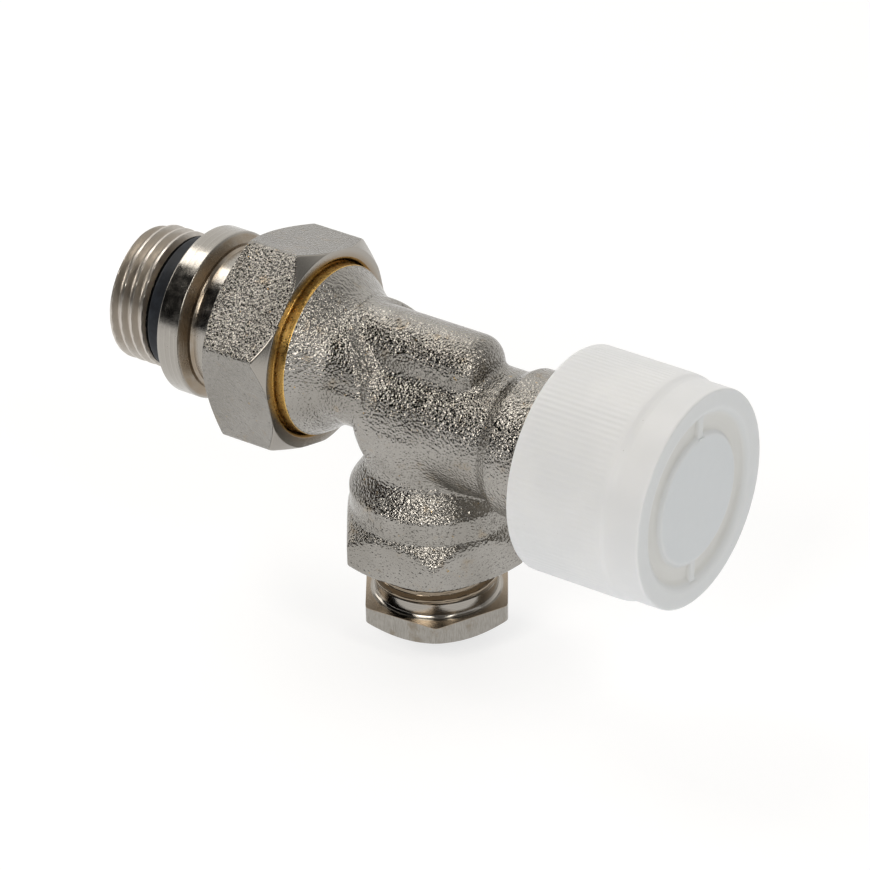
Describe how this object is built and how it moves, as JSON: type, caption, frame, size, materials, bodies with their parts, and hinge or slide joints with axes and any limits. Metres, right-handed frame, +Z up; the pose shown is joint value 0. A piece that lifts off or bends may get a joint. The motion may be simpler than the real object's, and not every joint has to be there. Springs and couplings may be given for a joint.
{
  "type": "thermostatic radiator valve, axial pattern",
  "caption": "Axial radiator valve with a union tail, a push-pin insert under a ribbed hand cap and a compression nut for the pipe.",
  "frame": {"origin": "centre of the tail collar's sealing face, on the union axis", "axes": "+X from the radiator thread to the hand cap, +Z up; the pipe port points down (-Z)"},
  "size_m": [0.0964, 0.0342, 0.0555],
  "materials": {
    "nickel": "nickel-plated brass, blasted forging with turned faces",
    "brass": "turned, unplated",
    "steel": "stainless, ground",
    "rubber": "smooth black",
    "white_plastic": "white, slightly translucent, ribbed"
  },
  "bodies": {
    "tail": {"tailpiece": "nickel", "radiator_seal_ring": "rubber", "union_snap_ring": "steel", "union_o_ring": "rubber"},
    "union_nut": {"union_nut": "nickel"},
    "valve_body": {"valve_body": "nickel", "insert_housing": "brass", "insert_o_ring": "rubber", "gland_washer": "brass", "gland_nut": "brass", "pin_o_ring": "rubber", "return_spring": "steel"},
    "spindle": {"pressure_pin": "steel", "valve_stem": "steel", "disc_nut": "brass", "seat_washer": "rubber", "disc_holder": "brass", "spring_clip": "steel"},
    "hand_cap": {"hand_cap": "white_plastic"},
    "olive": {"olive": "brass"},
    "pipe_nut": {"pipe_nut": "nickel"}
  },
  "joints": [
    {"name": "union_nut_turn", "type": "hinge", "parent": "tail", "child": "union_nut", "pos_m": [0, 0, 0], "axis": [-1, 0, 0], "range_deg": [0, 1080]},
    {"name": "body_withdraw", "type": "slide", "parent": "tail", "child": "valve_body", "axis": [1, 0, 0], "range_m": [0, 0.00544]},
    {"name": "spindle_travel", "type": "slide", "parent": "valve_body", "child": "spindle", "axis": [1, 0, 0], "range_m": [0, 0.00301], "deforming": ["return_spring"]},
    {"name": "cap_turn", "type": "hinge", "parent": "spindle", "child": "hand_cap", "pos_m": [0.075, 0, -0.0049], "axis": [1, 0, 0], "range_deg": [0, 720]},
    {"name": "olive_travel", "type": "slide", "parent": "valve_body", "child": "olive", "axis": [0, 0, -1], "range_m": [-0.00226, 0.00451]},
    {"name": "pipe_nut_turn", "type": "hinge", "parent": "olive", "child": "pipe_nut", "pos_m": [0.0401, 0, -0.03], "axis": [0, 0, -1], "range_deg": [-540, 1080]}
  ],
  "couplings": [
    {"joint": "union_nut_turn", "follows": "body_withdraw", "rad_per_m": 3463.7},
    {"joint": "spindle_travel", "follows": "cap_turn", "m_per_rad": 0.00023873},
    {"joint": "olive_travel", "follows": "pipe_nut_turn", "m_per_rad": 0.00023873}
  ]
}
